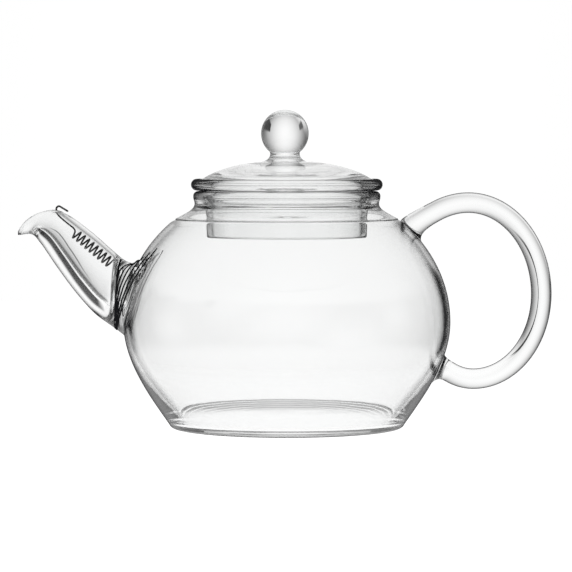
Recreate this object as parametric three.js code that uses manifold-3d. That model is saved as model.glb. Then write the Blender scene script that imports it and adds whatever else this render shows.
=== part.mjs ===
// A hand-blown glass teapot: bowl, neck, spout and ring handle fused into one pot, a domed lid with a ball
// knob, and a bent wire strainer that hangs from the lip of the spout.
// Millimetres, +Z up. The origin is on the table under the bowl's axis, the spout points to -X and the
// handle to +X. Fused or touching pieces keep a gap of GAP between them.
import * as THREE from 'three';
import { mergeVertices } from 'three/addons/utils/BufferGeometryUtils.js';
import Module from 'manifold-3d';

const wasm = await Module();
wasm.setup();

// Driving dimensions
const GAP = 0.3;
const WALL = 1.8; // blown glass of the bowl, the lid and the collar
const FLOOR = 3.2; // the thick foot
const BOWL_RADIUS = 60;
const BOWL_MIDDLE = 38.9; // height of the widest circle
const BOWL_CROWN = 51.8; // half-height of the ellipse above the widest circle
const HEEL = { radius: 43.3, height: 1.5 }; // where the side meets the rounded edge of the foot
const FOOT_RADIUS = 41;
const SEAM_ANGLE = Math.acos(41.6 / BOWL_RADIUS); // where the neck is fused on the bowl
const NECK = { waist: 33.8, waistHeight: 82.2, bore: 30.9, rim: 86.8 };
const LID = { rim: 35.1, rimHeight: 89.2, top: 98, seat: NECK.rim + GAP, bossRadius: 10.3, bossHeight: 95 };
const COLLAR = { radius: 29.8, tipRadius: 29.3, bottom: 69.7, top: 89.5 };
const KNOB = { x: -0.7, radius: 8.7, height: 107.9, waist: 5.4, foot: 6.9 }; // a little off centre
// The outermost places of the rod's centre line, and the rod's own radius
const HANDLE = { right: 93.4, middle: 49, top: 82.6, bottom: 17.9, rodRadius: 3.75 };
const SPOUT = { rootHalfWidth: 12.2, mouthHalfWidth: 7, mouthBow: 3.4, mouthWall: 1.3 };
const ROOT_WALL = { over: 1.7, under: 5.4, side: 2.4 }; // the spout's glass gathers below its root
const WIRE_RADIUS = 0.35;
const COIL = { turns: 8.5, radius: 1.95, pitch: 2, slope: THREE.MathUtils.degToRad(40.2) };

const glass = () => new THREE.MeshStandardMaterial({ color: 0xe9eef0, roughness: 0.04, metalness: 0 });
const steel = () => new THREE.MeshStandardMaterial({ color: 0x8d8f91, roughness: 0.2, metalness: 1 });

const teapot = new THREE.Group();

function addPiece(name, geometry, material) {
  const mesh = new THREE.Mesh(geometry, material);
  mesh.name = name;
  teapot.add(mesh);
}

const flat = (r, z) => new THREE.Vector2(r, z);
const inSection = (point, y = 0) => new THREE.Vector3(point.x, y, point.y);

// A profile of (radius, height) points turned about the Z axis.
function turned(profile, segments = 40) {
  return new THREE.LatheGeometry(profile, segments).rotateX(Math.PI / 2);
}

// A skin over rings with equal numbers of points: the last ring joins the first when the loft is a tube
// with a wall, and otherwise both ends are capped.
function loft(rings, { closed }) {
  const count = rings[0].length;
  const positions = rings.flat().flatMap((p) => [p.x, p.y, p.z]);
  const index = [];
  const bands = closed ? rings.length : rings.length - 1;
  for (let band = 0; band < bands; band += 1) {
    const here = band * count;
    const next = ((band + 1) % rings.length) * count;
    for (let i = 0; i < count; i += 1) {
      const j = (i + 1) % count;
      index.push(here + i, here + j, next + j, here + i, next + j, next + i);
    }
  }
  if (!closed) {
    const last = (rings.length - 1) * count;
    for (let i = 1; i < count - 1; i += 1) {
      index.push(0, i + 1, i, last, last + i, last + i + 1);
    }
  }
  const geometry = new THREE.BufferGeometry();
  geometry.setAttribute('position', new THREE.Float32BufferAttribute(positions, 3));
  geometry.setIndex(index);
  return geometry;
}

// A ring of points round the chord from under to over (both in the XZ plane), halfWidth wide along Y.
// bow pushes its two sides out along the way the ring faces.
function ovalRing({ over, under, halfWidth, bow = 0, points = 24 }) {
  const centre = over.clone().add(under).multiplyScalar(0.5);
  const chord = over.clone().sub(under).multiplyScalar(0.5);
  const facing = flat(-chord.y, chord.x).normalize();
  return Array.from({ length: points }, (_, i) => {
    const angle = (2 * Math.PI * i) / points;
    const across = Math.sin(angle) * halfWidth;
    const place = centre.clone().addScaledVector(chord, Math.cos(angle));
    place.addScaledVector(facing, bow * Math.abs(Math.sin(angle)) ** 1.5);
    return inSection(place, across);
  });
}

// Booleans
function solidOf(geometry) {
  const bare = geometry.clone();
  bare.deleteAttribute('normal');
  bare.deleteAttribute('uv');
  const merged = mergeVertices(bare, 1e-4);
  const vertProperties = merged.attributes.position.array;
  const triVerts = new Uint32Array(merged.index.array);
  return new wasm.Manifold(new wasm.Mesh({ numProp: 3, vertProperties, triVerts }));
}

function geometryOf(solid) {
  const { vertProperties, triVerts } = solid.getMesh();
  const geometry = new THREE.BufferGeometry();
  geometry.setAttribute('position', new THREE.BufferAttribute(vertProperties, 3));
  geometry.setIndex(new THREE.BufferAttribute(triVerts, 1));
  return geometry;
}

const cut = (geometry, tool) => geometryOf(solidOf(geometry).subtract(solidOf(tool)));

// Bowl: an ellipse above the widest circle and one long curve down to the foot
const seamPoint = (inset, angle) => flat(
  (BOWL_RADIUS - inset) * Math.cos(angle),
  BOWL_MIDDLE + (BOWL_CROWN - inset) * Math.sin(angle),
);

function bowlSide(inset, rise) {
  const side = new THREE.Path();
  const widest = BOWL_RADIUS - inset;
  side.moveTo(HEEL.radius - inset, HEEL.height + rise);
  side.bezierCurveTo(51 - inset, 12.5 + rise / 2, widest, 25, widest, BOWL_MIDDLE);
  side.absellipse(0, BOWL_MIDDLE, widest, BOWL_CROWN - inset, 0, SEAM_ANGLE, false);
  return side.getPoints(5);
}

// The outside of the bowl as a filled body, one gap larger: it trims whatever is fused to the bowl's side.
function bowlClearance() {
  const side = bowlSide(-GAP, -GAP);
  return turned([flat(0, 0), ...side, flat(0, side.at(-1).y)]);
}

function addBowl() {
  const heel = new THREE.QuadraticBezierCurve(
    flat(FOOT_RADIUS, 0),
    flat(FOOT_RADIUS + 1.25, 0),
    flat(HEEL.radius, HEEL.height),
  );
  const innerHeel = new THREE.QuadraticBezierCurve(
    flat(HEEL.radius - WALL, HEEL.height + FLOOR),
    flat(FOOT_RADIUS - 0.6, FLOOR),
    flat(FOOT_RADIUS - 3, FLOOR),
  );
  const outside = bowlSide(0, 0);
  const inside = bowlSide(WALL, FLOOR).reverse();
  const profile = [
    flat(0, 0),
    ...heel.getPoints(3).slice(0, -1),
    ...outside,
    ...inside,
    ...innerHeel.getPoints(3).slice(1),
    flat(0, FLOOR),
  ];
  addPiece('bowl', cut(turned(profile), throatTool()), glass());
}

function addNeckRing() {
  const seamAngle = SEAM_ANGLE + (1.2 * GAP) / BOWL_RADIUS;
  const outerSeam = seamPoint(0, seamAngle);
  const innerSeam = seamPoint(WALL, seamAngle);
  const { waist, waistHeight, bore, rim } = NECK;
  const bead = { radius: 1.7, height: 1.8 };
  const ring = new THREE.Path();
  ring.moveTo(innerSeam.x, innerSeam.y);
  ring.lineTo(outerSeam.x, outerSeam.y);
  ring.bezierCurveTo(37.5, 78.6, waist, 79.9, waist, waistHeight);
  ring.lineTo(bore + 2 * bead.radius, rim - 1.6 * bead.height);
  ring.absellipse(bore + bead.radius, rim - bead.height, bead.radius, bead.height, 0, Math.PI, false);
  ring.lineTo(bore + 0.2, waistHeight + 0.4);
  ring.bezierCurveTo(bore + 0.2, 80.4, 36, 77.6, innerSeam.x, innerSeam.y);
  addPiece('neck_ring', turned(ring.getPoints(4)), glass());
}

// Spout: rings between its upper and its lower outline, listed from the root to the mouth
const spoutOver = new THREE.SplineCurve([
  flat(-61.6, 63.1),
  flat(-65.5, 66.5),
  flat(-69.6, 70.2),
  flat(-73.8, 73.6),
  flat(-77.8, 76.6),
  flat(-80, 78),
  flat(-81.8, 78.8),
]);
const spoutUnder = new THREE.SplineCurve([
  flat(-63.4, 36.7),
  flat(-70.4, 41.9),
  flat(-77.5, 49.8),
  flat(-84.5, 59.3),
  flat(-90.4, 67.9),
  flat(-93.3, 70.9),
  flat(-98.5, 70.7),
]);

// A ring of the spout with its over, under and side points moved in by the three walls, and reach outwards
function spoutRing(along, walls, reach = 0) {
  const over = spoutOver.getPoint(along);
  const under = spoutUnder.getPoint(along);
  const inwards = under.clone().sub(over).normalize();
  const outwards = flat(inwards.y, -inwards.x).setLength(reach);
  over.addScaledVector(inwards, walls.over).add(outwards);
  under.addScaledVector(inwards, -walls.under).add(outwards);
  const halfWidth = THREE.MathUtils.lerp(SPOUT.rootHalfWidth, SPOUT.mouthHalfWidth, along) - walls.side;
  return ovalRing({ over, under, halfWidth, bow: SPOUT.mouthBow * along ** 3 });
}

const sameWall = (wall) => ({ over: wall, under: wall, side: wall });

// The spout's walls grow from the mouth to the root, the lower one most.
function wallsAt(along) {
  const wall = (atRoot) => THREE.MathUtils.lerp(SPOUT.mouthWall, atRoot, (1 - along) ** 0.6);
  return { over: wall(ROOT_WALL.over), under: wall(ROOT_WALL.under), side: wall(ROOT_WALL.side) };
}

function addSpoutTube() {
  const steps = Array.from({ length: 13 }, (_, i) => i / 12);
  const outside = steps.map((along) => spoutRing(along, sameWall(0)));
  const lipOutside = spoutRing(1, sameWall(SPOUT.mouthWall * 0.3), 0.45);
  const lipInside = spoutRing(1, sameWall(SPOUT.mouthWall * 0.8), 0.35);
  const inside = steps.map((along) => spoutRing(along, wallsAt(along))).reverse();
  addPiece('spout_tube', loft([...outside, lipOutside, lipInside, ...inside], { closed: true }), glass());
}

// The weld, from inside the bowl's wall, where the bowl's clearance trims it, to the tube's root
const weldStations = [
  { over: flat(-50.3, 64.5), under: flat(-56.5, 32), halfWidth: 20 },
  { over: flat(-53, 63.2), under: flat(-59.5, 33.8), halfWidth: 18 },
  { over: flat(-55.6, 61.3), under: flat(-60.4, 35.2), halfWidth: 15.4 },
  { over: flat(-58.5, 61.1), under: flat(-61.6, 36), halfWidth: 13.2 },
  { over: flat(-61.25, 62.8), under: flat(-63.05, 36.6), halfWidth: 12.2 },
];

function addSpoutWeld() {
  const spread = loft(weldStations.map(ovalRing), { closed: false });
  addPiece('spout_weld', cut(cut(spread, bowlClearance()), throatTool()), glass());
}

// The narrow throat through the weld and the bowl's wall
function throatTool() {
  const inBowl = { over: flat(-48, 60.6), under: flat(-48, 42), halfWidth: 9 };
  const inSpout = { over: flat(-64, 58.5), under: flat(-64, 45.5), halfWidth: 6.5 };
  return loft([ovalRing(inBowl), ovalRing(inSpout)], { closed: false });
}

// Handle: a ring of solid rod with its two ends bent in to the bowl
class SectionCurve extends THREE.Curve {
  constructor(path) {
    super();
    this.path = path;
  }

  getPoint(along) {
    return inSection(this.path.getPointAt(along));
  }
}

function handleLine() {
  const { right, middle, top, bottom } = HANDLE;
  const topX = 66.5;
  const bottomX = 68.5;
  const line = new THREE.Path();
  line.moveTo(51.2, 77);
  line.bezierCurveTo(55.3, 80.5, 61, top, topX, top);
  line.absellipse(topX, middle, right - topX, top - middle, Math.PI / 2, 0, true);
  line.absellipse(bottomX, middle, right - bottomX, middle - bottom, 0, -Math.PI / 2, true);
  line.quadraticCurveTo(64, bottom, 60, 20.3);
  return line;
}

function addHandleRod(line) {
  const section = new THREE.Shape().absarc(0, 0, HANDLE.rodRadius, 0, 2 * Math.PI);
  const extrudePath = new SectionCurve(line);
  const rod = new THREE.ExtrudeGeometry(section, { steps: 32, curveSegments: 8, extrudePath });
  addPiece('handle_rod', rod, glass());
}

// A weld between an end of the rod and the bowl: it spreads from the rod's width to an oval pad.
function addHandleWeld(name, end, towards, pad) {
  const side = flat(towards.y, -towards.x);
  const start = end.clone().addScaledVector(towards, GAP);
  const radius = HANDLE.rodRadius;
  const rodRing = {
    over: start.clone().addScaledVector(side, radius),
    under: start.clone().addScaledVector(side, -radius),
    halfWidth: radius,
  };
  const blend = (share) => ({
    over: rodRing.over.clone().lerp(pad.over, share),
    under: rodRing.under.clone().lerp(pad.under, share),
    halfWidth: THREE.MathUtils.lerp(radius, pad.halfWidth, share ** 1.5),
    points: 16,
  });
  const rings = [0, 0.35, 0.7, 1].map((share) => ovalRing(blend(share)));
  const sunk = pad.over.clone().sub(pad.under);
  const inwards = flat(-sunk.y, sunk.x).setLength(pad.depth);
  const buried = {
    ...pad,
    over: pad.over.clone().add(inwards),
    under: pad.under.clone().add(inwards),
    points: 16,
  };
  rings.push(ovalRing(buried));
  addPiece(name, cut(loft(rings, { closed: false }), bowlClearance()), glass());
}

// Lid
function addLidDome() {
  const { rim, rimHeight, top, seat, bossRadius, bossHeight } = LID;
  const fold = { radius: 2, height: rimHeight - seat };
  const foldStart = rim - fold.radius;
  const sleeve = COLLAR.radius + 0.35;
  const dome = new THREE.Path();
  dome.moveTo(0, bossHeight);
  dome.lineTo(bossRadius - 0.6, bossHeight);
  dome.lineTo(bossRadius, bossHeight + 0.8);
  dome.bezierCurveTo(16, bossHeight + 0.8, 24, bossHeight - 2.4, sleeve, 90.4);
  dome.lineTo(sleeve, seat);
  dome.lineTo(foldStart, seat);
  dome.absellipse(foldStart, rimHeight, fold.radius, fold.height, -Math.PI / 2, Math.PI / 2, false);
  dome.lineTo(30.6, 91.5);
  dome.bezierCurveTo(25.5, 94.8, 15.5, top, 0, top);
  addPiece('lid_dome', turned(dome.getPoints(5)), glass());
}

function addLidCollar() {
  const { radius, tipRadius, bottom, top } = COLLAR;
  const edge = WALL / 2;
  const collar = new THREE.Path();
  collar.moveTo(tipRadius - WALL, bottom + edge);
  collar.absarc(tipRadius - edge, bottom + edge, edge, Math.PI, 2 * Math.PI, false);
  collar.quadraticCurveTo(radius, 76, radius, 81);
  collar.lineTo(radius, top);
  collar.lineTo(radius - WALL, top);
  collar.lineTo(radius - WALL, 81);
  collar.quadraticCurveTo(radius - WALL, 76, tipRadius - WALL, bottom + edge);
  addPiece('lid_collar', turned(collar.getPoints(3)), glass());
}

function addKnob() {
  const { radius, height, waist, foot } = KNOB;
  const joint = 101.4; // height of the weld between the ball and its stem
  const jointAngle = Math.asin((joint + GAP / 2 - height) / radius);
  const ball = new THREE.Path();
  ball.moveTo(0, joint + GAP / 2);
  ball.lineTo(radius * Math.cos(jointAngle), joint + GAP / 2);
  ball.absarc(0, height, radius, jointAngle, Math.PI / 2, false);
  const stem = new THREE.Path();
  stem.moveTo(0, LID.top + GAP);
  stem.lineTo(foot, LID.top + GAP);
  stem.bezierCurveTo(foot - 1, LID.top + 0.7, waist, 99.4, waist, 100.4);
  stem.lineTo(waist + 0.3, joint - GAP / 2);
  stem.lineTo(0, joint - GAP / 2);
  addPiece('knob_ball', turned(ball.getPoints(6), 24).translate(KNOB.x, 0, 0), glass());
  addPiece('knob_stem', turned(stem.getPoints(4), 24).translate(KNOB.x, 0, 0), glass());
}

// Strainer: one wire from the hook outside the lip, round the lip, along the bore and into the coil
function strainerRoute() {
  const down = flat(Math.cos(COIL.slope), -Math.sin(COIL.slope)); // along the coil, into the spout
  const across = flat(-down.y, down.x);
  const coilStart = flat(-77.4, 70.9);
  const hook = [
    flat(-80.4, 79.5),
    flat(-82.2, 80.6),
    flat(-83.6, 81.3),
    flat(-84.4, 80.7),
    flat(-84.4, 79.4),
    flat(-83.8, 78),
    flat(-82.6, 76.8),
    flat(-79.7, 74.5),
    flat(-78.1, 73.2),
    flat(-77.6, 72.1),
  ];
  const points = hook.map((place) => inSection(place));
  const stepsPerTurn = 12;
  for (let step = 0; step <= COIL.turns * stepsPerTurn; step += 1) {
    const turn = step / stepsPerTurn;
    const angle = -2 * Math.PI * turn + Math.PI;
    const place = coilStart.clone().addScaledVector(down, COIL.pitch * turn);
    place.addScaledVector(across, COIL.radius * Math.cos(angle));
    points.push(inSection(place, COIL.radius * Math.sin(angle)));
  }
  return new THREE.CatmullRomCurve3(points, false, 'centripetal');
}

function addStrainer() {
  const section = new THREE.Shape().absarc(0, 0, WIRE_RADIUS, 0, 2 * Math.PI);
  const extrudePath = strainerRoute();
  const wire = new THREE.ExtrudeGeometry(section, { steps: 150, curveSegments: 3, extrudePath });
  addPiece('strainer_wire', wire, steel());
}

addBowl();
addNeckRing();
addSpoutTube();
addSpoutWeld();
const handle = handleLine();
addHandleRod(handle);
const upperPad = { over: flat(43.4, 76.4), under: flat(50.4, 68.6), halfWidth: 5.2, depth: 3 };
addHandleWeld('handle_upper_weld', handle.getPointAt(0), handle.getTangentAt(0).negate(), upperPad);
const lowerPad = { over: flat(59.2, 27.3), under: flat(54, 14.6), halfWidth: 6.2, depth: 3 };
addHandleWeld('handle_lower_weld', handle.getPointAt(1), handle.getTangentAt(1), lowerPad);
addLidDome();
addLidCollar();
addKnob();
addStrainer();

export default teapot;
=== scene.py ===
"""A hand-blown glass teapot: a fused pot, a domed lid with a ball knob, and a wire strainer in the spout."""

import math

import bpy
from mathutils import Matrix, Vector
from mathutils.kdtree import KDTree


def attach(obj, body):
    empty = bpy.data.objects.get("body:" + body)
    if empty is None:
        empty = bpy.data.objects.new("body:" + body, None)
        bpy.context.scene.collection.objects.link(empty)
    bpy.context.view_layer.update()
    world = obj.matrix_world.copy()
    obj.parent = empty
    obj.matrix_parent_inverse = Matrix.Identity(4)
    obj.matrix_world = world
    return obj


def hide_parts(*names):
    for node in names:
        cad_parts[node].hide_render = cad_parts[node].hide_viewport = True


MM = 0.001

# The driving dimensions of the CAD, in millimetres
WALL = 1.8
FLOOR = 3.2
BOWL_RADIUS = 60.0
BOWL_MIDDLE = 38.9
BOWL_CROWN = 51.8
HEEL = (43.3, 1.5)
FOOT_RADIUS = 41.0
SEAM_ANGLE = math.acos(41.6 / BOWL_RADIUS)
NECK_WAIST = (33.8, 82.2)
NECK_BORE = 30.9
NECK_RIM = 86.8
NECK_BEAD = (1.7, 1.8)  # half the bead's width and height
NECK_BEAD_MIDDLE = (NECK_BORE + NECK_BEAD[0], NECK_RIM - NECK_BEAD[1])
LID_RIM = (2, 2.1)  # the same for the lid's rolled rim
LID_RIM_MIDDLE = (33.1, 89.2)
KNOB_X = -0.7
KNOB_RADIUS = 8.7
KNOB_MIDDLE = 107.9
ROD_RADIUS = 3.75
WIRE_RADIUS = 0.35

TURNS = 240  # points round a turned body
OVAL = 96  # points round a loft
STRAND_SIDES = 12
WIRE_SIDES = 14
SHARP_FROM = math.radians(50)  # a corner sharper than this stays sharp under smooth shading

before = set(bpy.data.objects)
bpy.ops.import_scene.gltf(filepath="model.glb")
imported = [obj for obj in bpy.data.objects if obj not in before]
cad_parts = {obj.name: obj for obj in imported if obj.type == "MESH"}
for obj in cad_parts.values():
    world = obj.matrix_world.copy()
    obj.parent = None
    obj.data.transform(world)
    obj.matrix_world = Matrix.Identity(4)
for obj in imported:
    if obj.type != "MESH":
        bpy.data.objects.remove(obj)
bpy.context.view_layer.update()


# ---------------------------------------------------------------- outlines


class Outline:
    """A line of (radius, height) points made of straight, curved and elliptical stretches."""

    def __init__(self, x, z):
        self.points = [Vector((x, z))]

    def line(self, x, z, steps=1):
        start = self.points[-1]
        self.points += [start.lerp(Vector((x, z)), i / steps) for i in range(1, steps + 1)]
        return self

    def curve(self, first, second, end, steps=20):
        start = self.points[-1]
        for i in range(1, steps + 1):
            t = i / steps
            u = 1 - t
            point = start * u**3 + Vector(first) * (3 * u * u * t)
            point += Vector(second) * (3 * u * t * t) + Vector(end) * t**3
            self.points.append(point)
        return self

    def arc(self, centre, radii, start, end, steps=20):
        """Goes on along an ellipse, between two angles in radians."""
        for i in range(1, steps + 1):
            angle = start + (end - start) * i / steps
            reach = Vector((radii[0] * math.cos(angle), radii[1] * math.sin(angle)))
            self.points.append(Vector(centre) + reach)
        return self


def catmull_rom(four, t):
    """A point between the two middle ones of four, on a centripetal Catmull-Rom curve."""
    knots = [0.0]
    for a, b in zip(four, four[1:]):
        knots.append(knots[-1] + math.sqrt((b - a).length))
    place = knots[1] + (knots[2] - knots[1]) * t
    a, b, c = (four[i].lerp(four[i + 1], (place - knots[i]) / (knots[i + 1] - knots[i])) for i in range(3))
    d = a.lerp(b, (place - knots[0]) / (knots[2] - knots[0]))
    e = b.lerp(c, (place - knots[1]) / (knots[3] - knots[1]))
    return d.lerp(e, t)


def spline(points, steps, closed=False):
    """A smooth line through the points, with as many new points in each stretch."""
    points = [Vector(p) for p in points]
    if closed:
        run = [points[-1], *points, *points[:2]]
    else:
        run = [points[0] * 2 - points[1], *points, points[-1] * 2 - points[-2]]
    stretches = len(run) - 3
    places = [i * stretches / steps for i in range(steps + (not closed))]
    result = []
    for place in places:
        k = min(int(place), stretches - 1)
        result.append(catmull_rom(run[k : k + 4], place - k))
    return result


# ---------------------------------------------------------------- solids


def body(name, points, faces):
    """A mesh object from points in millimetres."""
    mesh = bpy.data.meshes.new(name)
    mesh.from_pydata([p * MM for p in points], [], faces)
    mesh.update()
    made = bpy.data.objects.new(name, mesh)
    bpy.context.scene.collection.objects.link(made)
    return made


def turned(name, profile, count=TURNS, centre_x=0.0):
    """A profile turned about a vertical axis. It starts and ends on the axis, or else closes on itself."""
    on_axis = profile[0].x < 1e-6
    middle = profile[1:-1] if on_axis else profile
    points = []
    for i in range(count):
        angle = 2 * math.pi * i / count
        points += [Vector((centre_x + p.x * math.cos(angle), p.x * math.sin(angle), p.y)) for p in middle]
    size = len(middle)
    faces = []
    for i in range(count):
        here = i * size
        beside = (i + 1) % count * size
        for k in range(size - 1 if on_axis else size):
            above = (k + 1) % size
            faces.append((here + k, beside + k, beside + above, here + above))
    if on_axis:
        bottom = len(points)
        points += [Vector((centre_x, 0, profile[0].y)), Vector((centre_x, 0, profile[-1].y))]
        for i in range(count):
            here = i * size
            beside = (i + 1) % count * size
            faces.append((bottom, beside, here))
            faces.append((bottom + 1, here + size - 1, beside + size - 1))
    return body(name, points, faces)


def lofted(name, rings):
    """A skin over rings of points, with both ends closed by a fan."""
    count = len(rings[0])
    points = [p for ring in rings for p in ring]
    faces = []
    for band in range(len(rings) - 1):
        here = band * count
        for i in range(count):
            j = (i + 1) % count
            faces.append((here + j, here + i, here + count + i, here + count + j))
    last = (len(rings) - 1) * count
    for ring, start, flip in ((rings[0], 0, False), (rings[-1], last, True)):
        centre = len(points)
        points.append(sum(ring, Vector((0, 0, 0))) / count)
        for i in range(count):
            j = (i + 1) % count
            faces.append((centre, start + j, start + i) if flip else (centre, start + i, start + j))
    return body(name, points, faces)


def tube(name, line, radius, count):
    """A round wire along a line, with rounded ends."""
    first = (line[1] - line[0]).normalized()
    side = first.orthogonal().normalized()
    rings = []
    for k, place in enumerate(line):
        heading = (line[min(k + 1, len(line) - 1)] - line[max(k - 1, 0)]).normalized()
        side = (side - heading * side.dot(heading)).normalized()
        up = heading.cross(side)
        ring = []
        for i in range(count):
            angle = -2 * math.pi * i / count
            ring.append(place + side * (radius * math.cos(angle)) + up * (radius * math.sin(angle)))
        rings.append(ring)
    first_end = rounded_end(rings[0], rings[1], radius)
    last_end = rounded_end(rings[-1], rings[-2], radius)
    return lofted(name, first_end[::-1] + rings + last_end)


def rounded_end(ring, before, radius):
    """Shrinking rings that round off a wire beyond its last ring."""
    centre = sum(ring, Vector((0, 0, 0))) / len(ring)
    heading = (centre - sum(before, Vector((0, 0, 0))) / len(before)).normalized()
    rings = []
    for angle in (25, 50, 72):
        turn = math.radians(angle)
        onwards = heading * (radius * math.sin(turn))
        rings.append([centre + (p - centre) * math.cos(turn) + onwards for p in ring])
    return rings


def combine(base, operation, tool):
    """Joins a tool to the base or cuts the base with it, and uses the tool up."""
    modifier = base.modifiers.new("combine", "BOOLEAN")
    modifier.operation = operation
    modifier.solver = "MANIFOLD"
    modifier.object = tool
    shaped = base.evaluated_get(bpy.context.evaluated_depsgraph_get())
    base.data = bpy.data.meshes.new_from_object(shaped)
    base.modifiers.clear()
    bpy.data.objects.remove(tool)


def finish_piece(piece, material):
    """Smooth shading, with sharp edges only at real corners, and one material."""
    piece.data.materials.clear()
    piece.data.materials.append(material)
    piece.data.shade_smooth()
    piece.data.set_sharp_from_angle(angle=SHARP_FROM)


def mark_faces(piece, mark, near):
    """Marks the faces near some lines, for the glass to look different there.

    near holds each line with the distance that its mark reaches.
    """
    places = []
    for line, reach in near:
        for a, b in zip(line, line[1:]):
            places += [(a, reach), (a.lerp(b, 0.5), reach)]
    tree = KDTree(len(places))
    for k, (place, reach) in enumerate(places):
        tree.insert(place * MM, k)
    tree.balance()
    marks = piece.data.attributes.new(mark, "FLOAT", "FACE")
    for face, value in zip(piece.data.polygons, marks.data):
        _, k, distance = tree.find(face.center)
        value.value = float(distance < places[k][1] * MM)


def circle(radius, height, count=120):
    """A level circle round the pot's axis."""
    angles = [2 * math.pi * k / count for k in range(count + 1)]
    return [Vector((radius * math.cos(angle), radius * math.sin(angle), height)) for angle in angles]


# ---------------------------------------------------------------- bowl and neck


def bowl_side(inset, rise):
    """The side of the bowl from the heel to the seam of the neck, moved inwards by inset."""
    widest = BOWL_RADIUS - inset
    side = Outline(HEEL[0] - inset, HEEL[1] + rise)
    side.curve((51 - inset, 12.5 + rise / 2), (widest, 25), (widest, BOWL_MIDDLE), 30)
    side.arc((0, BOWL_MIDDLE), (widest, BOWL_CROWN - inset), 0, SEAM_ANGLE, 36)
    return side.points


class Wall:
    """The bowl's side as a surface: its radius and its normal at any height."""

    def __init__(self, inset, rise):
        self.side = bowl_side(inset, rise)

    def at(self, height):
        """The radius at that height, and the way the side rises there."""
        k = 0
        while k < len(self.side) - 2 and self.side[k + 1].y < height:
            k += 1
        below, above = self.side[k], self.side[k + 1]
        share = (height - below.y) / (above.y - below.y)
        slope = (above - below).normalized()
        return below.x + (above.x - below.x) * share, slope

    def point(self, y, height, sign):
        """The point of the surface at that y and height, and the normal there. sign is the side in X."""
        radius, slope = self.at(height)
        x = sign * math.sqrt(radius * radius - y * y)
        normal = Vector((x / radius * slope.y, y / radius * slope.y, -slope.x))
        return Vector((x, y, height)), normal.normalized()


def vessel():
    """The blown bowl with its thick foot and the flared neck fused on it."""
    outline = Outline(0, 0.9)
    outline.curve((15, 0.9), (30, 0.75), (37.5, 0.25), 12)
    outline.curve((39, 0.1), (40, 0), (FOOT_RADIUS, 0), 4)
    outline.curve((42.1, 0), (42.9, 0.6), HEEL, 8)
    outline.points += bowl_side(0, 0)[1:-1]
    seam = Vector((41.6, BOWL_MIDDLE + BOWL_CROWN * math.sin(SEAM_ANGLE)))
    outline.line(seam.x - 0.1, seam.y - 0.15)
    outline.curve((seam.x - 0.65, seam.y), (seam.x - 0.85, seam.y + 0.1), (40.7, seam.y + 0.5), 6)
    outline.curve((37.6, 78.6), (NECK_WAIST[0], 79.9), NECK_WAIST, 20)
    bead_side = NECK_BORE + 2 * NECK_BEAD[0]
    outline.curve((33.8, 83.4), (bead_side, 83.6), (bead_side, NECK_BEAD_MIDDLE[1]), 8)
    outline.arc(NECK_BEAD_MIDDLE, NECK_BEAD, 0, math.pi, 24)
    outline.curve((NECK_BORE, 84.2), (31.1, 83.6), (31.1, 82.6), 8)
    inner = bowl_side(WALL, FLOOR)
    outline.curve((31.1, 80.4), (36.2, 77.4), inner[-1], 20)
    outline.points += inner[-2::-1]
    outline.curve((FOOT_RADIUS - 0.1, 3.8), (FOOT_RADIUS - 0.8, FLOOR), (FOOT_RADIUS - 2, FLOOR), 8)
    outline.line(0, FLOOR, 12)
    return turned("pot_glass", outline.points)


# ---------------------------------------------------------------- welds


ROOT_DEPTH = 4  # how far a flare goes on into the wall
SINK = 0.08  # how deep the edge of a weld lies in the wall


def flared(ring, before, landing, sink, steps):
    """Rings that carry a tube on and turn it smoothly into the bowl's wall.

    ring is the tube's last ring, and before the one next to it. landing holds the (point, normal) pairs of
    the wall where each line of the tube comes to lie, sunk a little below the surface. One more ring lies
    well inside the wall, so that the two join.
    """
    rings = [[] for _ in range(steps)]
    for place, earlier, (goal, normal) in zip(ring, before, landing):
        heading = (place - earlier).normalized()
        reach = normal.dot(goal - place) / normal.dot(heading)
        corner = place + heading * max(reach, 0.3)
        goal = goal - normal * sink
        for k in range(steps):
            t = (k + 1) / steps
            u = 1 - t
            point = place * (u * u) + corner * (2 * u * t) + goal * (t * t)
            rings[k].append(point)
    rings.append([goal - normal * ROOT_DEPTH for goal, normal in landing])
    return rings


def oval(over, under, half_width, bow):
    """A ring round the chord from under to over in the XZ plane. bow pushes its sides the way it faces."""
    centre = (over + under) / 2
    chord = (over - under) / 2
    facing = Vector((-chord.y, chord.x)).normalized()
    ring = []
    for i in range(OVAL):
        angle = 2 * math.pi * i / OVAL
        place = centre + chord * math.cos(angle) + facing * bow * abs(math.sin(angle)) ** 1.5
        ring.append(Vector((place.x, math.sin(angle) * half_width, place.y)))
    return ring


def mirrored_loop(half):
    """A closed smooth curve of OVAL points from the (y, z) points of one half."""
    other = [(-y, z) for y, z in half[-2:0:-1]]
    return spline([*half, *other], OVAL, closed=True)


# ---------------------------------------------------------------- spout

# The spout's upper and lower outlines as (x, z), from the bowl to the mouth
SPOUT_OVER = [
    (-61.6, 63.1),
    (-65.5, 66.5),
    (-69.6, 70.2),
    (-73.8, 73.6),
    (-77.8, 76.6),
    (-80, 78),
    (-81.8, 78.8),
]
SPOUT_UNDER = [
    (-63.4, 36.7),
    (-70.4, 41.9),
    (-77.5, 49.8),
    (-84.5, 59.3),
    (-90.4, 67.9),
    (-93.3, 70.9),
    (-98.5, 70.7),
]
SPOUT_STEPS = 60
ROOT_HALF_WIDTH = 12.2
MOUTH_HALF_WIDTH = 7.0
MOUTH_BOW = 3.4
MOUTH_WALL = 1.3
UPPER_WALL = 1.7  # the three walls of the spout at its root
LOWER_WALL = 5.4
SIDE_WALL = 2.4
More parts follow.
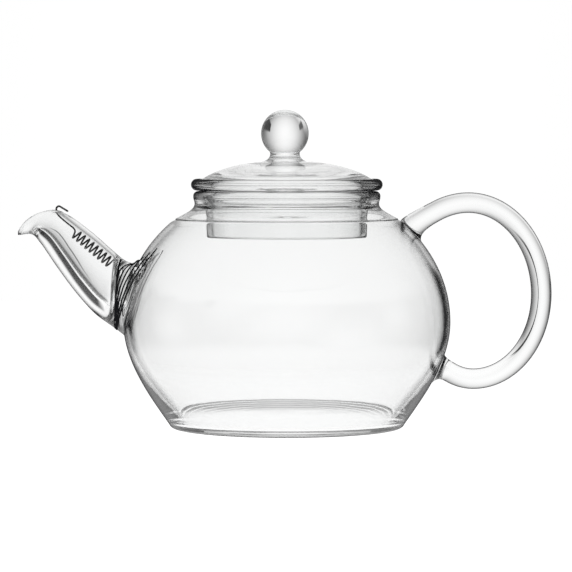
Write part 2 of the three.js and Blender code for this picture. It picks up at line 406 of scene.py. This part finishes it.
# One half, as (y, z) points, of the weld's outline on the bowl, of the throat, and of the throat's mouth
# inside the bowl
FLANGE = [(0, 62.6), (11, 64.3), (21.2, 66.8), (23.6, 60), (21.8, 51), (17.6, 43.3), (9.5, 36.4), (0, 33.6)]
THROAT = [(0, 58.5), (5, 56.6), (6.5, 52), (5, 47.4), (0, 45.5)]
THROAT_X = -62
THROAT_RINGS = 5  # the spout's last rings, whose place the throat takes
BEYOND_LIP = 4  # how far the cut for the bore stands out of the mouth
THROAT_FLARE = [(0, 59.5), (6, 57.2), (7.8, 51.6), (6, 46), (0, 43.7)]


def spout_rings(over_wall, under_wall, side_wall):
    """Rings from the mouth to the root. A wall is how far that side moves inwards at the root."""
    rings = []
    outlines = zip(spline(SPOUT_OVER, SPOUT_STEPS), spline(SPOUT_UNDER, SPOUT_STEPS))
    for k, (over, under) in enumerate(outlines):
        share = k / SPOUT_STEPS
        at_mouth = MOUTH_WALL if over_wall else 0
        over_inset, under_inset, side_inset = (
            at_mouth + (wall - at_mouth) * (1 - share) ** 0.6 for wall in (over_wall, under_wall, side_wall)
        )
        chord = (over - under).normalized()
        half_width = ROOT_HALF_WIDTH + (MOUTH_HALF_WIDTH - ROOT_HALF_WIDTH) * share - side_inset
        over, under = over - chord * over_inset, under + chord * under_inset
        rings.append(oval(over, under, half_width, MOUTH_BOW * share**3))
    return rings[::-1]


def lip_rings(inner):
    """The rounded lip of the mouth, from its crown to one of its sides."""
    over, under = Vector(SPOUT_OVER[-1]), Vector(SPOUT_UNDER[-1])
    chord = (over - under).normalized()
    outwards = Vector((-chord.y, chord.x))
    rings = []
    for angle in (84, 70, 56, 42, 28, 14):
        turn = math.radians(angle)
        depth = MOUTH_WALL / 2 * (1 - math.cos(turn))
        inset = MOUTH_WALL - depth if inner else depth
        shift = outwards * (MOUTH_WALL / 2 * math.sin(turn))
        over_end, under_end = over - chord * inset + shift, under + chord * inset + shift
        rings.append(oval(over_end, under_end, MOUTH_HALF_WIDTH - inset, MOUTH_BOW))
    return rings


# Strands in the weld, painted dark to stand for the dark lines that refraction draws there (painted shade):
# the side each one is on, how far round it starts and ends (0 on top, 1 below), and how far out it starts
# and ends (0 at the spout, 1 at the weld's edge). The first two are the seams round the spout's root.
STRANDS = [
    (-1, 0.10, 0.92, 0.05, 0.05),
    (1, 0.14, 0.88, 0.05, 0.05),
    (-1, 0.93, 0.27, 0.12, 0.97),
    (-1, 0.87, 0.24, 0.07, 0.88),
    (-1, 0.77, 0.20, 0.05, 0.80),
    (-1, 0.66, 0.18, 0.05, 0.68),
    (-1, 0.54, 0.13, 0.05, 0.60),
    (-1, 0.40, 0.11, 0.05, 0.44),
    (1, 0.90, 0.26, 0.30, 0.93),
    (1, 0.82, 0.21, 0.05, 0.84),
    (1, 0.60, 0.15, 0.05, 0.66),
]
STRAND_RADIUS = 0.34
STRAND_STEPS = 40
STRAND_BEND = 0.03  # how far a strand bows round the spout on its way


def strand_line(weld, start, end, side):
    """A line over the weld's rings from one (round, out) place to another. side is 1 or -1 in Y."""
    line = []
    for k in range(STRAND_STEPS + 1):
        share = k / STRAND_STEPS
        bend = STRAND_BEND * math.sin(math.pi * share) * side
        place_round = (start[0] + (end[0] - start[0]) * share + bend) / 2 % 1
        place_out = start[1] + (end[1] - start[1]) * share**1.2
        column = (place_round if side > 0 else 1 - place_round) * OVAL
        row = place_out * (len(weld) - 2)
        i, j = int(column) % OVAL, int(row)
        low = weld[j][i].lerp(weld[j][(i + 1) % OVAL], column % 1)
        high = weld[j + 1][i].lerp(weld[j + 1][(i + 1) % OVAL], column % 1)
        line.append(low.lerp(high, row % 1))
    return line


def spout_solid(outer_wall):
    """The spout filled in, with its weld and the strands on the weld, and the strands' lines."""
    rings = spout_rings(0, 0, 0)
    landing = [outer_wall.point(y, z, -1) for y, z in mirrored_loop(FLANGE)]
    weld = flared(rings[-1], rings[-3], landing, SINK, steps=30)
    solid = lofted("spout", lip_rings(inner=False) + rings + weld)
    strands = []
    for side, start, end, out_start, out_end in STRANDS:
        strands.append(strand_line(weld, (start, out_start), (end, out_end), side))
        combine(solid, "UNION", tube("strand", strands[-1], STRAND_RADIUS, STRAND_SIDES))
    return solid, strands


def spout_bore(inner_wall):
    """The hollow of the spout, which closes in to a narrow throat through the bowl's wall."""
    rings = spout_rings(UPPER_WALL, LOWER_WALL, SIDE_WALL)[:-THROAT_RINGS]
    lip = lip_rings(inner=True)
    outwards = (lip[0][0] - rings[10][0]).normalized()
    beyond = [p + outwards * BEYOND_LIP for p in lip[0]]
    throat = [Vector((THROAT_X, y, z)) for y, z in mirrored_loop(THROAT)]
    facing_mouth = [(p, Vector((-1, 0, 0))) for p in throat]
    shoulder = flared(rings[-1], rings[-3], facing_mouth, sink=0, steps=12)[:-1]
    inside = [inner_wall.point(y, z, -1) for y, z in mirrored_loop(THROAT_FLARE)]
    begun = [p + Vector((0.8, 0, 0)) for p in throat]
    into_bowl = flared(begun, throat, inside, sink=0.05, steps=8)
    return lofted("bore", [beyond] + lip + rings + shoulder + [begun] + into_bowl)


# ---------------------------------------------------------------- handle


def handle_line():
    """The rod's centre line from the shoulder round to the lower weld."""
    line = Outline(51.2, 77)
    line.curve((55.3, 80.5), (61, 82.6), (66.5, 82.6), 14)
    line.arc((66.5, 49), (26.9, 33.6), math.pi / 2, 0, 50)
    line.arc((68.5, 49), (24.9, 31.1), 0, -math.pi / 2, 46)
    line.curve((65.5, 17.9), (62.7, 18.7), (60, 20.3), 12)
    return line.points


def rod_ring(centre, heading):
    """A round ring across the rod. Its first point lies on the outside of the handle's curve."""
    side = Vector((-heading.y, heading.x)).normalized() * ROD_RADIUS
    ring = []
    for i in range(OVAL):
        angle = 2 * math.pi * i / OVAL
        place = centre + side * math.cos(angle)
        ring.append(Vector((place.x, ROD_RADIUS * math.sin(angle), place.y)))
    return ring


# Where the rod's ends come to lie on the bowl, as (y, z) points of one half
UPPER_PAD = [(0, 76.0), (3.5, 74.9), (4.4, 71.9), (3.3, 69), (0, 67.8)]
UPPER_FLARE = 4  # steps of the rod that its upper weld takes over
LOWER_PAD = [(0, 27.2), (4.6, 25.2), (6.4, 20.8), (4.6, 16.6), (0, 14.8)]


def handle_solid(outer_wall):
    """The rod with a flared weld at both ends."""
    line = handle_line()
    rings = []
    for k, centre in enumerate(line):
        heading = line[min(k + 1, len(line) - 1)] - line[max(k - 1, 0)]
        rings.append(rod_ring(centre, heading))
    upper = [outer_wall.point(y, z, 1) for y, z in mirrored_loop(UPPER_PAD)]
    lower = [outer_wall.point(y, z, 1) for y, z in mirrored_loop(LOWER_PAD[::-1])]
    rings = rings[UPPER_FLARE:]
    start = flared(rings[0], rings[1], upper, SINK, steps=14)
    end = flared(rings[-1], rings[-2], lower, SINK, steps=14)
    return lofted("handle", start[::-1] + rings + end)


# ---------------------------------------------------------------- lid


def dome_and_collar():
    """The shallow dome with its rolled rim and the collar that hangs from it, as one fused body."""
    outline = Outline(0, 94.7)
    outline.curve((3, 94.7), (4, 95.3), (6, 95.3), 8)
    outline.curve((7.6, 95.3), (8.4, 94.6), (9.4, 94.9), 8)
    outline.curve((10.2, 95.1), (10.2, 95.8), (11.5, 95.85), 6)
    outline.curve((17, 95.6), (23, 93.4), (27.6, 91.4), 20)
    outline.curve((28, 91.2), (28, 90.6), (28, 89.5), 8)
    outline.line(28, 81, 20)
    outline.curve((28, 77.6), (27.6, 74), (27.5, 70.6), 12)
    outline.arc((28.4, 70.6), (0.9, 0.9), math.pi, 2 * math.pi, 14)
    outline.curve((29.4, 74), (29.8, 77.6), (29.8, 81), 12)
    outline.line(29.8, 86, 12)
    outline.curve((29.8, 86.9), (30.3, 87.1), (31.2, 87.1), 8)
    outline.line(LID_RIM_MIDDLE[0], 87.1, 3)
    outline.arc(LID_RIM_MIDDLE, LID_RIM, -math.pi / 2, math.pi / 2, 26)
    outline.curve((32.3, 91.3), (31.6, 91.1), (30.2, 91.75), 8)
    outline.curve((25.2, 94.9), (15.5, 98), (0, 98), 30)
    return turned("lid_glass", outline.points)


def knob():
    """The solid ball on its waisted stem, whose foot spreads on the dome."""
    waist = 101.45
    crease = math.asin((waist - KNOB_MIDDLE) / KNOB_RADIUS)
    outline = Outline(0, 96.2).line(8.9, 96.2).line(8.9, 97.45)
    outline.curve((6.6, 98), (5.4, 98.9), (5.4, 100.4), 14)
    outline.curve((5.4, 101), (5.5, 101.3), (KNOB_RADIUS * math.cos(crease), waist), 5)
    outline.arc((0, KNOB_MIDDLE), (KNOB_RADIUS, KNOB_RADIUS), crease, math.pi / 2, 60)
    outline.points[-1].x = 0
    return turned("knob", outline.points, 160, KNOB_X)


# ---------------------------------------------------------------- strainer

# The coil winds down the spout from its start. The hook goes over the lip. Places are (x, z).
COIL_TURNS = 8.5
COIL_STEPS = 12  # points in each turn
COIL_RADIUS = 1.95
COIL_PITCH = 2.0
COIL_SLOPE = math.radians(40.2)
COIL_START = Vector((-77.4, 70.9))
HOOK = [
    (-80.4, 79.5),
    (-82.2, 80.6),
    (-83.6, 81.3),
    (-84.4, 80.7),
    (-84.4, 79.4),
    (-83.8, 78),
    (-82.6, 76.8),
    (-79.7, 74.5),
    (-78.1, 73.2),
    (-77.6, 72.1),
]


def strainer():
    """One wire: the hook over the lip, a straight stem and the coil in the spout."""
    down = Vector((math.cos(COIL_SLOPE), -math.sin(COIL_SLOPE)))
    across = Vector((-down.y, down.x))
    places = [Vector((x, 0, z)) for x, z in HOOK]
    for step in range(int(COIL_TURNS * COIL_STEPS) + 1):
        turn = step / COIL_STEPS
        angle = math.pi - 2 * math.pi * turn
        place = COIL_START + down * (COIL_PITCH * turn) + across * (COIL_RADIUS * math.cos(angle))
        places.append(Vector((place.x, COIL_RADIUS * math.sin(angle), place.y)))
    line = spline(places, 4 * len(places))
    return tube("strainer_wire_bent", line, WIRE_RADIUS, WIRE_SIDES)


# ---------------------------------------------------------------- materials


class Nodes:
    """Short ways to add nodes to a tree."""

    def __init__(self, tree):
        self.tree = tree
        tree.nodes.clear()

    def add(self, kind, settings=None, **inputs):
        """A new node. An input is given by its name, or by its number after an underscore."""
        node = self.tree.nodes.new(kind)
        for key, value in (settings or {}).items():
            setattr(node, key, value)
        for key, value in inputs.items():
            socket = node.inputs[int(key[1:])] if key[0] == "_" else node.inputs[key.replace("_", " ")]
            if isinstance(value, bpy.types.NodeSocket):
                self.tree.links.new(value, socket)
            else:
                socket.default_value = value
        return node

    def math(self, operation, a, b=0.0, c=0.0):
        return self.add("ShaderNodeMath", {"operation": operation}, _0=a, _1=b, _2=c).outputs[0]

    def vector(self, operation, a, b=(0, 0, 0)):
        return self.add("ShaderNodeVectorMath", {"operation": operation}, _0=a, _1=b).outputs

    def ramp(self, value, low, high, to_low=0.0, to_high=1.0):
        """A smooth step from to_low at low to to_high at high."""
        node = self.add(
            "ShaderNodeMapRange",
            {"interpolation_type": "SMOOTHSTEP"},
            Value=value,
            From_Min=low,
            From_Max=high,
            To_Min=to_low,
            To_Max=to_high,
        )
        return node.outputs["Result"]

    def mixed(self, share, first, second):
        """Two shaders mixed. share is the second one's."""
        either = self.add("ShaderNodeMixShader", _0=share, _1=first.outputs[0], _2=second.outputs[0])
        return either.outputs[0]


def new_material(name):
    """A new material, and its empty node tree to fill."""
    material = bpy.data.materials.new(name)
    material.use_nodes = True
    return material, Nodes(material.node_tree)


# Painted edge shade: how edge on the glass is where the painted shade starts and where it ends, and how
# strong it is at both. The first is for walls that stand upright, the second for the parts that are marked
# as slim.
BROAD_EDGE_SHADE = (0.67, 0.97, 0.0, 1.0)
SLIM_EDGE_SHADE = (0.42, 0.82, 0.0, 0.95)


def painted_edge_shade(nodes):
    """Painted shade where the glass is seen edge on, which draws its contours.

    This is more than clear glass does. It is painted shade that stands in for the dark surroundings that
    glass shows at its edges.
    """
    facing = nodes.add("ShaderNodeLayerWeight", Blend=0.5).outputs["Facing"]
    slim = nodes.add("ShaderNodeAttribute", {"attribute_name": "slim"}).outputs["Fac"]
    normal = nodes.add("ShaderNodeTexCoord").outputs["Normal"]
    lean = nodes.add("ShaderNodeSeparateXYZ", Vector=normal).outputs["Z"]
    upright = nodes.math("SUBTRACT", 1.0, nodes.math("POWER", nodes.math("ABSOLUTE", lean), 4.0))
    broad_edge_shade = nodes.math("MULTIPLY", upright, nodes.ramp(facing, *BROAD_EDGE_SHADE))
    slim_edge_shade = nodes.math("MULTIPLY", slim, nodes.ramp(facing, *SLIM_EDGE_SHADE))
    return nodes.math("MAXIMUM", broad_edge_shade, slim_edge_shade)


def glass(name, stretch, wave_size, wave_depth):
    """Clear blown glass with faint waves, stretched as the glass was turned. Painted shade darkens the
    weld's strands and the glass where it is seen edge on.
    """
    material, nodes = new_material(name)
    place = nodes.add("ShaderNodeTexCoord").outputs["Object"]
    stretched = nodes.add("ShaderNodeMapping", Vector=place, Scale=stretch).outputs["Vector"]
    waves = nodes.add(
        "ShaderNodeTexNoise",
        Vector=stretched,
        Scale=1 / wave_size,
        Detail=1.5,
        Roughness=0.4,
    )
    bump = nodes.add("ShaderNodeBump", Height=waves.outputs[0], Distance=wave_depth, Strength=1.0)
    smears = nodes.add("ShaderNodeTexNoise", Vector=place, Scale=60.0, Detail=3.0)
    roughness = nodes.ramp(smears.outputs[0], 0.45, 0.8, 0.0, 0.02)
    # The strand mark: faces near the weld's strands, which get painted shade for the dark lines that
    # refraction draws in the weld
    strand = nodes.add("ShaderNodeAttribute", {"attribute_name": "strand"}).outputs["Fac"]
    clear = nodes.add(
        "ShaderNodeBsdfPrincipled",
        Base_Color=(0.992, 0.995, 0.994, 1),
        Roughness=roughness,
        IOR=1.47,
        Transmission_Weight=1.0,
        Normal=bump.outputs["Normal"],
    )
    # Painted shade: a near-black diffuse mixed in on the strands and where the glass is seen edge on
    dark = nodes.add("ShaderNodeBsdfDiffuse", Color=(0.015, 0.015, 0.017, 1))
    painted_shade_share = nodes.math("MAXIMUM", strand, painted_edge_shade(nodes))
    nodes.add("ShaderNodeOutputMaterial", Surface=nodes.mixed(painted_shade_share, clear, dark))
    return material


def steel(name):
    """Drawn steel wire: dark, with fine streaks and a few dull spots."""
    material, nodes = new_material(name)
    place = nodes.add("ShaderNodeTexCoord").outputs["Object"]
    grain = nodes.add("ShaderNodeTexNoise", Vector=place, Scale=2600.0, Detail=4.0).outputs[0]
    spots = nodes.add("ShaderNodeTexNoise", Vector=place, Scale=420.0, Detail=2.0).outputs[0]
    tone = nodes.ramp(spots, 0.35, 0.7)
    colour = nodes.add(
        "ShaderNodeMix",
        {"data_type": "RGBA"},
        Factor=tone,
        _6=(0.05, 0.05, 0.052, 1),
        _7=(0.12, 0.118, 0.116, 1),
    )
    bump = nodes.add("ShaderNodeBump", Height=grain, Distance=0.00003, Strength=0.6)
    shader = nodes.add(
        "ShaderNodeBsdfPrincipled",
        Base_Color=colour.outputs[2],
        Metallic=1.0,
        Roughness=nodes.ramp(grain, 0.3, 0.7, 0.22, 0.4),
        Normal=bump.outputs["Normal"],
    )
    nodes.add("ShaderNodeOutputMaterial", Surface=shader.outputs[0])
    return material


# ---------------------------------------------------------------- camera, stage, light

CAMERA_PLACE = (0, -1130, 106)
CAMERA_AIM = (-0.3, 0, 52)


def place_camera():
    """A long lens that looks at the pot's side from a little above."""
    camera = bpy.data.cameras.new("camera")
    camera.lens = 194
    camera.sensor_width = 36
    camera.clip_end = 100
    holder = bpy.data.objects.new("camera", camera)
    bpy.context.scene.collection.objects.link(holder)
    holder.location = Vector(CAMERA_PLACE) * MM
    aim = Vector(CAMERA_AIM) * MM - holder.location
    holder.rotation_euler = aim.to_track_quat("-Z", "Y").to_euler()
    bpy.context.scene.camera = holder


# Soft light panels: the turn from straight behind the object towards -X and the height, both in degrees,
# the strength, how far the panel is stretched upwards, and how tight it is
PANELS = [
    (0, 0, 1.02, 1.8, 5.5),
    (48, -32, 0.95, 1, 9),
    (90, -4, 0.8, 1, 25),
    (180, 10, 0.6, 1, 4),
    (225, -18, 0.9, 1, 9),
]
DIM = 0.08  # the studio's walls between the panels


def light_studio():
    """Soft panels on dim walls. The camera itself sees a white backdrop."""
    world = bpy.data.worlds.new("studio")
    bpy.context.scene.world = world
    world.use_nodes = True
    nodes = Nodes(world.node_tree)
    heading = nodes.add("ShaderNodeTexCoord").outputs["Generated"]
    light = DIM
    for turn, height, strength, tall, tight in PANELS:
        a, h = math.radians(turn), math.radians(height)
        towards = (-math.sin(a) * math.cos(h), math.cos(a) * math.cos(h), math.sin(h))
        lowered = nodes.vector("MULTIPLY", heading, (1, 1, 1 / tall))["Vector"]
        lowered = nodes.vector("NORMALIZE", lowered)["Vector"]
        facing = nodes.vector("DOT_PRODUCT", lowered, towards)["Value"]
        glow = nodes.math("POWER", nodes.math("MAXIMUM", facing), tight)
        light = nodes.math("MAXIMUM", light, nodes.math("MULTIPLY_ADD", glow, strength - DIM, DIM))
    seen = nodes.add("ShaderNodeLightPath").outputs["Is Camera Ray"]
    background = nodes.add(
        "ShaderNodeBackground",
        Color=(1, 1, 1, 1),
        Strength=nodes.math("MAXIMUM", light, seen),
    )
    nodes.add("ShaderNodeOutputWorld", Surface=background.outputs[0])


FLOOR_RADIUS = 900
FLOOR_TOP = -0.3
FLOOR_GLOW = 1.25
FLOOR_MATTE = 0.15  # the share of its look that takes shadows
# The floor that the glass sees is lit evenly up to the first radius and fades out at the second.
LIT_FLOOR = (80, 175)
LIT_FLOOR_TOP = -0.05
LIT_FLOOR_GLOW = 1.03


def round_sheet(name, radius, top):
    """A thin round sheet, its top at that height."""
    rings = []
    for z in (top, top - 0.1):
        angles = [2 * math.pi * i / OVAL for i in range(OVAL)]
        rings.append([Vector((radius * math.cos(a), radius * math.sin(a), z)) for a in angles])
    return lofted(name, rings)


def lay_floor():
    """A plain white floor that glows, as a light table does. The glass sees only its lit part."""
    material, nodes = new_material("white_floor")
    diffuse = nodes.add("ShaderNodeBsdfDiffuse", Color=(0.9, 0.9, 0.9, 1))
    glow = nodes.add("ShaderNodeEmission", Strength=FLOOR_GLOW)
    nodes.add("ShaderNodeOutputMaterial", Surface=nodes.mixed(FLOOR_MATTE, glow, diffuse))
    floor = round_sheet("floor", FLOOR_RADIUS, FLOOR_TOP)
    floor.data.materials.append(material)
    floor.visible_transmission = floor.visible_glossy = False

    material, nodes = new_material("lit_floor")
    place = nodes.add("ShaderNodeTexCoord").outputs["Object"]
    from_axis = nodes.vector("LENGTH", place)["Value"]
    fading = nodes.ramp(from_axis, LIT_FLOOR[0] * MM, LIT_FLOOR[1] * MM)
    glow = nodes.add("ShaderNodeEmission", Strength=LIT_FLOOR_GLOW)
    clear = nodes.add("ShaderNodeBsdfTransparent")
    nodes.add("ShaderNodeOutputMaterial", Surface=nodes.mixed(fading, glow, clear))
    lit = round_sheet("lit_floor", LIT_FLOOR[1], LIT_FLOOR_TOP)
    lit.data.materials.append(material)
    lit.visible_camera = lit.visible_shadow = False


# Soft-edged cards outside the picture, as the corner, the two sides, the tone and how wide the edges fade.
# A dark one stands at the handle's side, a grey one at the spout's, and a small black one by the spout.
CARDS = [
    ((106, 45, -35), (94, 375, 0), (0, 0, 135), 0.035, (0.04, 0.2)),
    ((-132, 150, -20), (-68, 270, 0), (0, 0, 105), 0.12, (0.15, 0.3)),
    ((-66, 13, 36), (-31, 0, 38), (-20, 0, -18), 0.0, (0.12, 0.2)),
]


def stand_cards():
    """The cards, which the camera does not see and which cast no shadow."""
    for k, (corner, across, up, tone, fade) in enumerate(CARDS):
        material, nodes = new_material(f"card_{k}")
        place = nodes.add("ShaderNodeTexCoord").outputs["Object"]
        place = nodes.add("ShaderNodeSeparateXYZ", Vector=place).outputs
        solid = 1.0
        for axis, edge in enumerate(fade):
            from_middle = nodes.math("ABSOLUTE", nodes.math("SUBTRACT", place[axis], 0.5))
            solid = nodes.math("MULTIPLY", solid, nodes.ramp(from_middle, 0.5 - edge, 0.5, 1.0, 0.0))
        glow = nodes.add("ShaderNodeEmission", Strength=tone)
        clear = nodes.add("ShaderNodeBsdfTransparent")
        nodes.add("ShaderNodeOutputMaterial", Surface=nodes.mixed(solid, clear, glow))
        unit = [Vector((x, y, 0)) / MM for x, y in ((0, 0), (1, 0), (1, 1), (0, 1))]
        card = body(f"card_{k}", unit, [(0, 1, 2, 3)])
        facing = Vector(across).cross(Vector(up)).normalized()
        columns = [Vector(v) * MM for v in (across, up, facing, corner)]
        rows = [[column[row] for column in columns] for row in range(3)]
        card.matrix_world = Matrix([*rows, [0, 0, 0, 1]])
        card.data.materials.append(material)
        card.visible_camera = card.visible_shadow = False


def set_look():
    """Plain display colours, and enough bounces for light to pass through all the layers of glass."""
    scene = bpy.context.scene
    scene.view_settings.view_transform = "Standard"
    scene.cycles.max_bounces = 32
    scene.cycles.transmission_bounces = 32
    scene.cycles.glossy_bounces = 12
    scene.cycles.blur_glossy = 0.0


# ---------------------------------------------------------------- the teapot


# How far the glass's marks reach: past a rod, as a multiple of its radius, and from the middle of a bead
ROD_MARK = 1.1
NECK_BEAD_MARK = 2
LID_RIM_MARK = 2.4


def core():
    """The bowl filled up to the middle of its wall: it trims what is fused to the bowl's side."""
    side = bowl_side(WALL / 2, FLOOR / 2)
    return turned("core", [Vector((0, side[0].y)), *side, Vector((0, side[-1].y))])


def make_pot():
    """The vessel with the spout and the handle fused on it, and its marks for the glass."""
    outer_wall = Wall(0, 0)
    inner_wall = Wall(WALL, FLOOR)
    pot = vessel()
    spout, strands = spout_solid(outer_wall)
    for added in (spout, handle_solid(outer_wall)):
        combine(added, "DIFFERENCE", core())
        combine(pot, "UNION", added)
    combine(pot, "DIFFERENCE", spout_bore(inner_wall))
    # The strand mark is where the glass gets the painted shade of the weld's dark lines
    mark_faces(pot, "strand", [(strand, ROD_MARK * STRAND_RADIUS) for strand in strands])
    rod = [Vector((x, 0, z)) for x, z in handle_line()]
    bead = circle(*NECK_BEAD_MIDDLE)
    # The slim mark takes the stronger painted edge shade
    mark_faces(pot, "slim", [(rod, ROD_MARK * ROD_RADIUS), (bead, NECK_BEAD_MARK)])
    return pot


place_camera()
set_look()
light_studio()
lay_floor()
stand_cards()

pot = make_pot()
finish_piece(pot, glass("clear_glass", stretch=(1, 1, 3), wave_size=0.02, wave_depth=0.00004))
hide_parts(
    "bowl",
    "neck_ring",
    "spout_tube",
    "spout_weld",
    "handle_rod",
    "handle_upper_weld",
    "handle_lower_weld",
)
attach(pot, "pot")

lid = dome_and_collar()
combine(lid, "UNION", knob())
# The slim mark on the lid's rim takes the stronger painted edge shade
mark_faces(lid, "slim", [(circle(*LID_RIM_MIDDLE), LID_RIM_MARK)])
finish_piece(lid, glass("lid_glass", stretch=(1, 1, 8), wave_size=0.02, wave_depth=0.00005))
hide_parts("lid_dome", "lid_collar", "knob_stem", "knob_ball")
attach(lid, "lid")

wire = strainer()
finish_piece(wire, steel("steel_wire"))
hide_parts("strainer_wire")
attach(wire, "strainer")

bpy.context.view_layer.update()
